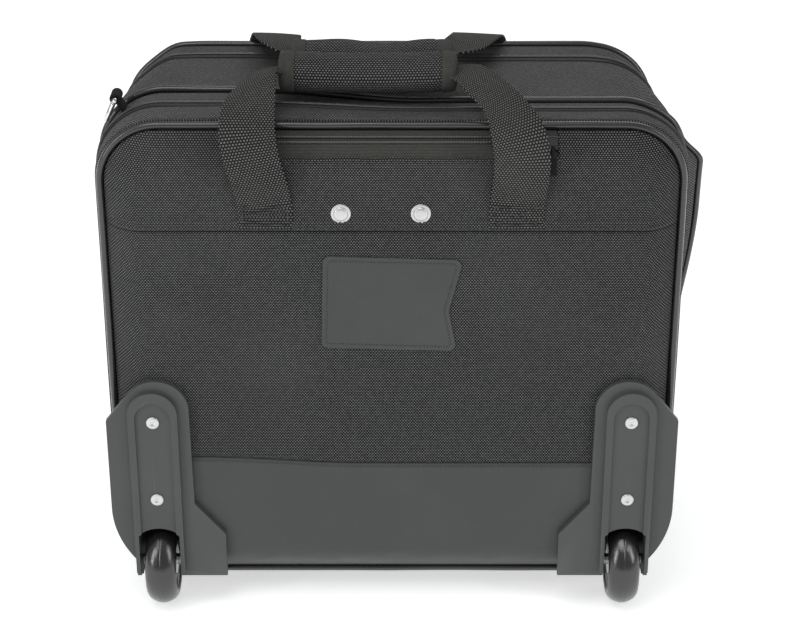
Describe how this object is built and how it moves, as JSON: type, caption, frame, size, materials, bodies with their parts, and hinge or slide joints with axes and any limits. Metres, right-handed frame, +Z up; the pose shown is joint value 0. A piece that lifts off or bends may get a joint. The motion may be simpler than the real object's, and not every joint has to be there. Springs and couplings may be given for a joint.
{
  "type": "rolling laptop case",
  "caption": "Soft rectangular wheeled laptop case with telescoping pull handle, carry handles, zipped compartments, piped edges and moulded wheel housings.",
  "frame": {"origin": "on the floor, at the middle of the bounding box", "axes": "+Z up, X across the case's width, -Y towards the side with the wheels and the pull handle"},
  "size_m": [0.4262, 0.221, 0.417],
  "materials": {
    "ballistic_fabric": "coarse basket-weave nylon, satin",
    "gusset_fabric": "diagonal-weave nylon, satin",
    "lining_foam": "brushed lining over foam",
    "smooth_vinyl": "smooth matt leatherette",
    "piping_vinyl": "glossy vinyl cord",
    "zip_tape": "woven tape with moulded coil",
    "webbing": "ribbed webbing",
    "wrap_fabric": "padded basket-weave nylon",
    "board_plastic": "pressed sheet",
    "housing_plastic": "fine-textured moulding",
    "rivet_metal": "bright nickel plate",
    "axle_steel": "ground steel",
    "tube_aluminium": "satin anodised",
    "grip_plastic": "satin moulding",
    "button_plastic": "satin moulding",
    "tyre_urethane": "glossy cast urethane",
    "hub_plastic": "glossy moulding",
    "foot_rubber": "matt rubber",
    "ring_chrome": "polished plate",
    "slider_metal": "dark plated zinc"
  },
  "bodies": {
    "case_back": {"rear_panel_upper": "ballistic_fabric", "rear_panel_lower": "ballistic_fabric", "kick_panel": "smooth_vinyl", "handle_zip_lower": "zip_tape", "handle_zip_upper": "zip_tape", "rear_piping": "piping_vinyl", "back_board": "board_plastic", "laptop_gusset_back": "gusset_fabric", "laptop_zip_back": "zip_tape", "laptop_pad": "lining_foam", "laptop_strap": "webbing", "trolley_outer_tubes": "tube_aluminium", "trolley_upper_bracket": "board_plastic", "trolley_base_bracket": "board_plastic", "back_rivets": "rivet_metal", "wheel_housing_right": "housing_plastic", "wheel_housing_left": "housing_plastic", "housing_rivets": "rivet_metal", "axles": "axle_steel", "id_tag": "smooth_vinyl", "rear_strap_patches": "webbing"},
    "wheel_right": {"tyre_right": "tyre_urethane", "wheel_hub_right": "hub_plastic", "wheel_bearings_right": "axle_steel"},
    "wheel_left": {"tyre_left": "tyre_urethane", "wheel_hub_left": "hub_plastic", "wheel_bearings_left": "axle_steel"},
    "pull_stage_1": {"trolley_first_stage": "tube_aluminium"},
    "pull_stage_2": {"trolley_second_stage": "tube_aluminium", "pull_grip": "grip_plastic", "button_springs": "axle_steel"},
    "button": {"release_button": "button_plastic"},
    "case_middle": {"laptop_gusset_front": "gusset_fabric", "laptop_zip_front": "zip_tape", "divider_panel": "lining_foam", "mid_piping": "piping_vinyl", "main_gusset_back": "gusset_fabric", "main_zip_back": "zip_tape", "base_board": "board_plastic", "front_feet": "foot_rubber", "d_ring_tabs": "webbing"},
    "ring_left": {"d_ring_left": "ring_chrome"},
    "ring_right": {"d_ring_right": "ring_chrome"},
    "case_front": {"main_zip_front": "zip_tape", "main_gusset_front": "gusset_fabric", "front_piping": "piping_vinyl", "front_panel": "ballistic_fabric", "front_pocket": "ballistic_fabric", "front_pocket_zip": "zip_tape", "front_strap_patches": "webbing"},
    "rear_handle": {"rear_handle_strap": "webbing", "rear_handle_wrap": "wrap_fabric"},
    "front_handle": {"front_handle_strap": "webbing", "front_handle_wrap": "wrap_fabric"},
    "handle_slider": {"handle_zip_slider": "slider_metal"},
    "handle_pull": {"handle_zip_pull": "slider_metal"},
    "laptop_slider": {"laptop_zip_slider": "slider_metal"},
    "laptop_pull": {"laptop_zip_pull": "slider_metal"},
    "main_slider": {"main_zip_slider": "slider_metal"},
    "main_pull": {"main_zip_pull": "slider_metal"}
  },
  "joints": [
    {"name": "wheel_right_spin", "type": "hinge", "parent": "case_back", "child": "wheel_right", "pos_m": [0.172, -0.0775, 0.033], "axis": [1, 0, 0], "continuous": true},
    {"name": "wheel_left_spin", "type": "hinge", "parent": "case_back", "child": "wheel_left", "pos_m": [-0.172, -0.0775, 0.033], "axis": [1, 0, 0], "continuous": true},
    {"name": "pull_lower_slide", "type": "slide", "parent": "case_back", "child": "pull_stage_1", "axis": [0, 0, 1], "range_m": [0, 0.27], "deforming": ["handle_zip_lower", "handle_zip_upper"]},
    {"name": "pull_upper_slide", "type": "slide", "parent": "pull_stage_1", "child": "pull_stage_2", "axis": [0, 0, 1], "range_m": [0, 0.27], "deforming": ["handle_zip_lower", "handle_zip_upper"]},
    {"name": "button_press", "type": "slide", "parent": "pull_stage_2", "child": "button", "axis": [0, 0, -1], "range_m": [0, 0.003], "stiffness_N_per_m": 400, "deforming": ["button_springs"]},
    {"name": "laptop_opening", "type": "hinge", "parent": "case_back", "child": "case_middle", "pos_m": [0, -0.0405, 0.0175], "axis": [-1, 0, 0], "range_deg": [0, 25]},
    {"name": "main_opening", "type": "hinge", "parent": "case_middle", "child": "case_front", "pos_m": [0, 0.0635, 0.0175], "axis": [-1, 0, 0], "range_deg": [0, 85]},
    {"name": "rear_handle_swing", "type": "hinge", "parent": "case_back", "child": "rear_handle", "pos_m": [0, -0.0921, 0.3315], "axis": [1, 0, 0], "range_deg": [0, 150]},
    {"name": "front_handle_swing", "type": "hinge", "parent": "case_front", "child": "front_handle", "pos_m": [0, 0.0955, 0.3315], "axis": [-1, 0, 0], "range_deg": [0, 150]},
    {"name": "ring_left_swing", "type": "hinge", "parent": "case_middle", "child": "ring_left", "pos_m": [-0.193, -0.0285, 0.3835], "axis": [0, 1, 0], "range_deg": [0, 110]},
    {"name": "ring_right_swing", "type": "hinge", "parent": "case_middle", "child": "ring_right", "pos_m": [0.2091, 0.0365, 0.32], "axis": [0, -1, 0], "range_deg": [0, 140]},
    {"name": "handle_slider_slide", "type": "slide", "parent": "case_back", "child": "handle_slider", "axis": [-1, 0, 0], "range_m": [0, 0.185]},
    {"name": "handle_pull_swing", "type": "hinge", "parent": "handle_slider", "child": "handle_pull", "pos_m": [0.1095, -0.0869, 0.3682], "axis": [-1, 0, 0], "range_deg": [0, 100]},
    {"name": "laptop_slider_slide", "type": "slide", "parent": "case_back", "child": "laptop_slider", "axis": [0, 0, 1], "range_m": [0, 0.24]},
    {"name": "laptop_pull_swing", "type": "hinge", "parent": "laptop_slider", "child": "laptop_pull", "pos_m": [0.2122, -0.0405, 0.0765], "axis": [0, -1, 0], "range_deg": [0, 100]},
    {"name": "main_slider_slide", "type": "slide", "parent": "case_middle", "child": "main_slider", "axis": [0, 0, 1], "range_m": [0, 0.24]},
    {"name": "main_pull_swing", "type": "hinge", "parent": "main_slider", "child": "main_pull", "pos_m": [-0.2122, 0.0635, 0.0765], "axis": [0, 1, 0], "range_deg": [0, 100]}
  ]
}
